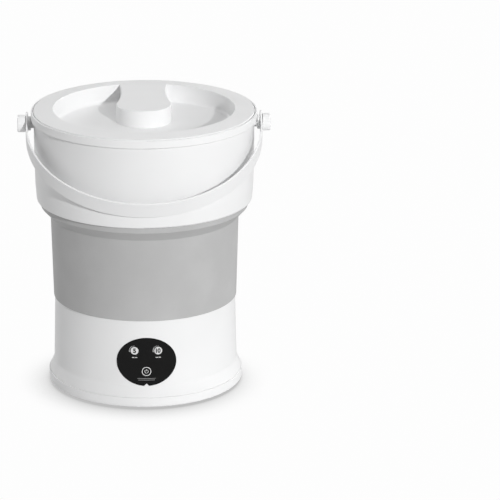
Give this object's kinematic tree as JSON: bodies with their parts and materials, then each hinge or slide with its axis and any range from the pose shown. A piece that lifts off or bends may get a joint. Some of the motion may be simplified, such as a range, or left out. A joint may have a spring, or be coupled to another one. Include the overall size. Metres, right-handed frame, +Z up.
{
  "type": "foldable washing machine",
  "caption": "Portable round washing machine with a soft sleeve that folds down, a lid with a sunk dish and grip, a swing handle, an impeller drive and a drain.",
  "frame": {"origin": "centre of the base on the plane that its rubber feet stand on", "axes": "+Z up along the axis of the drum, -Y towards the user on the side of the oval lens, +X to the right seen from the front, through the two handle pivots"},
  "size_m": [0.3212, 0.296, 0.3624],
  "materials": {
    "white_shell": "satin",
    "white_trim": "satin",
    "white_handle": "satin",
    "white_fitting": "matte",
    "basin_plastic": "satin",
    "impeller_plastic": "satin",
    "pulley_plastic": "matte",
    "sleeve_grey": "matte",
    "gasket_grey": "matte",
    "dark_rubber": "matte",
    "plug_rubber": "matte",
    "belt_rubber": "matte",
    "hose_rubber": "matte",
    "lead_red": "satin",
    "lead_black": "satin",
    "steel": "brushed",
    "spring_plate": "bright",
    "bracket_metal": "zinc plated",
    "motor_can": "brushed",
    "bush_brass": "machined",
    "black_lens": "polished",
    "board_laminate": "matte",
    "socket_black": "matte",
    "washer_dark": "matte"
  },
  "bodies": {
    "base": {"base_housing": "white_shell", "bottom_cover": "white_shell", "rubber_feet": "dark_rubber", "bottom_screws": "steel", "wash_basin": "basin_plastic", "basin_screws": "steel", "lower_bush": "bush_brass", "upper_bush": "bush_brass", "shaft_seal": "dark_rubber", "drive_belt": "belt_rubber", "motor_bracket": "bracket_metal", "bracket_screws": "steel", "motor_screws": "steel", "drive_motor": "motor_can", "control_panel": "black_lens", "touch_springs": "spring_plate", "control_board": "board_laminate", "board_screws": "steel", "drain_outlet": "white_fitting", "drain_hose": "hose_rubber", "power_socket": "socket_black", "socket_nut": "bush_brass", "motor_lead": "lead_red", "supply_lead": "lead_black", "folding_sleeve": "sleeve_grey"},
    "impeller": {"impeller": "impeller_plastic", "impeller_shaft": "steel", "impeller_screw": "steel", "impeller_cap": "impeller_plastic", "driven_pulley": "pulley_plastic", "pulley_clip": "steel"},
    "rotor": {"motor_pulley": "pulley_plastic", "motor_shaft": "steel"},
    "drain_cap": {"drain_plug": "plug_rubber"},
    "upper": {"upper_ring": "white_shell", "clamp_ring": "white_fitting", "clamp_screws": "steel", "top_rim": "white_trim", "pivot_bolts": "steel", "pivot_washers": "washer_dark", "handle_knob_right": "white_handle", "handle_knob_left": "white_handle"},
    "handle": {"handle_strap": "white_handle"},
    "lid": {"lid": "white_trim", "lid_gasket": "gasket_grey"}
  },
  "joints": [
    {"name": "fold", "type": "slide", "parent": "base", "child": "upper", "axis": [0, 0, -1], "range_m": [0, 0.207], "deforming": ["folding_sleeve"]},
    {"name": "handle_swing", "type": "hinge", "parent": "upper", "child": "handle", "pos_m": [0, 0, 0.3425], "axis": [-1, 0, 0], "range_deg": [0, 231.8]},
    {"name": "lid_lift", "type": "slide", "parent": "upper", "child": "lid", "axis": [0, 0, 1], "range_m": [0, 0.03]},
    {"name": "impeller_spin", "type": "hinge", "parent": "base", "child": "impeller", "pos_m": [0, 0, 0.085], "axis": [0, 0, 1], "continuous": true},
    {"name": "rotor_spin", "type": "hinge", "parent": "base", "child": "rotor", "pos_m": [-0.04384, 0.04384, 0.013], "axis": [0, 0, 1], "continuous": true},
    {"name": "drain_pull", "type": "slide", "parent": "base", "child": "drain_cap", "axis": [0, 1, 0], "range_m": [0, 0.018]}
  ],
  "couplings": [
    {"joint": "rotor_spin", "follows": "impeller_spin", "ratio": 5}
  ]
}
